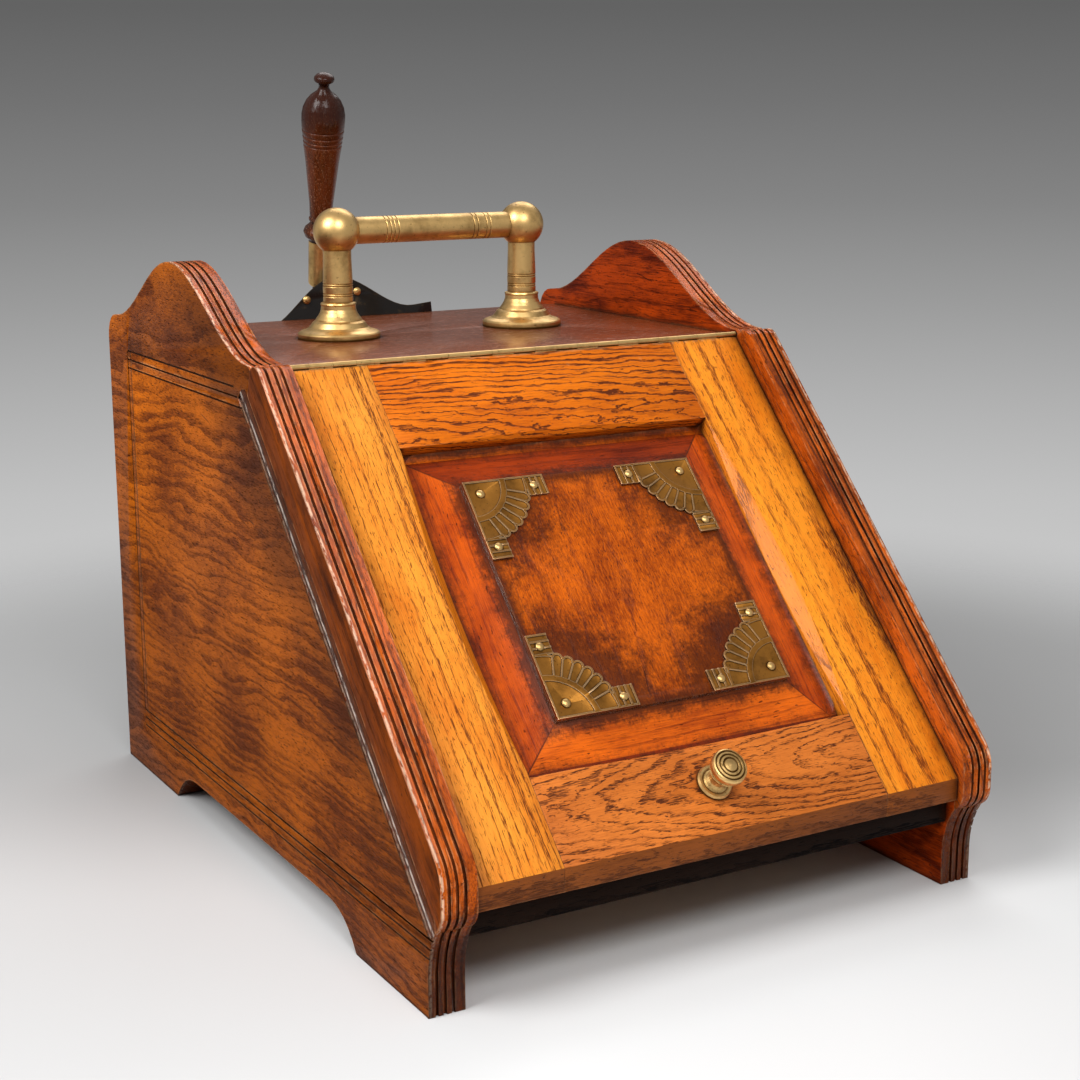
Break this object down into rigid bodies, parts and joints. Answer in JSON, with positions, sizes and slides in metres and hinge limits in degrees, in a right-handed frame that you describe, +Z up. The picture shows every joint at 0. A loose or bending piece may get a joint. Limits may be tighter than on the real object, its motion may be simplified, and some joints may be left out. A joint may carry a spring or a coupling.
{
  "type": "coal scuttle",
  "caption": "Slope-fronted wooden coal box with a hinged panelled lid, brass carry handle, lift-out metal liner and a hand shovel that hangs behind.",
  "frame": {"origin": "on the floor, in the middle of the footprint taken from the lid moulding's nose to the back of the shovel's pan", "axes": "+X to the right as seen from the front, +Y towards the back where the shovel hangs, +Z up"},
  "size_m": [0.35, 0.4958, 0.4608],
  "materials": {
    "side_wood": "dark waxed walnut, satin",
    "edge_wood": "red-brown stained and polished, worn on the high edges",
    "top_wood": "dark polish, glossy",
    "frame_wood": "golden oak, satin",
    "rail_wood": "golden oak with bold figure, satin",
    "field_wood": "burr veneer, polished",
    "bevel_wood": "red-brown polish",
    "black_wood": "ebonised",
    "inner_wood": "plain softwood, dusty",
    "brass": "satin brass",
    "old_brass": "dulled stamped brass",
    "steel": "plain steel",
    "black_iron": "black japanned sheet, glossy",
    "handle_wood": "turned mahogany, glossy"
  },
  "bodies": {
    "case": {"side_left": "side_wood", "side_right": "side_wood", "slope_moulding_left": "edge_wood", "slope_moulding_right": "edge_wood", "top_board": "top_wood", "back_board": "inner_wood", "bottom_board": "inner_wood", "front_rail": "black_wood", "hinge_leaf_top": "brass", "hinge_pin": "steel", "hinge_screws_top": "brass", "handle_post_left": "brass", "handle_post_right": "brass", "handle_ball_left": "brass", "handle_ball_right": "brass", "handle_bar": "brass", "handle_nuts": "steel", "liner": "black_iron", "shovel_ledge": "inner_wood", "shovel_strap": "brass", "strap_screws": "brass"},
    "lid": {"lid_stile_left": "frame_wood", "lid_stile_right": "frame_wood", "lid_rail_top": "rail_wood", "lid_rail_bottom": "rail_wood", "lid_panel": "field_wood", "corner_mount_top_left": "old_brass", "corner_mount_top_right": "old_brass", "corner_mount_bottom_left": "old_brass", "corner_mount_bottom_right": "old_brass", "corner_pins": "old_brass", "knob": "brass", "hinge_leaf_lid": "brass", "hinge_screws_lid": "brass"},
    "shovel": {"shovel_handle": "handle_wood", "shovel_socket": "brass", "shovel_pan": "black_iron", "shovel_rivets": "brass"}
  },
  "joints": [
    {"name": "lid_hinge", "type": "hinge", "parent": "case", "child": "lid", "pos_m": [0, -0.0219, 0.2964], "axis": [-1, 0, 0], "range_deg": [0, 170]},
    {"name": "shovel_lift", "type": "slide", "parent": "case", "child": "shovel", "axis": [-0.1045, 0, 0.9945], "range_m": [0, 0.12]}
  ]
}
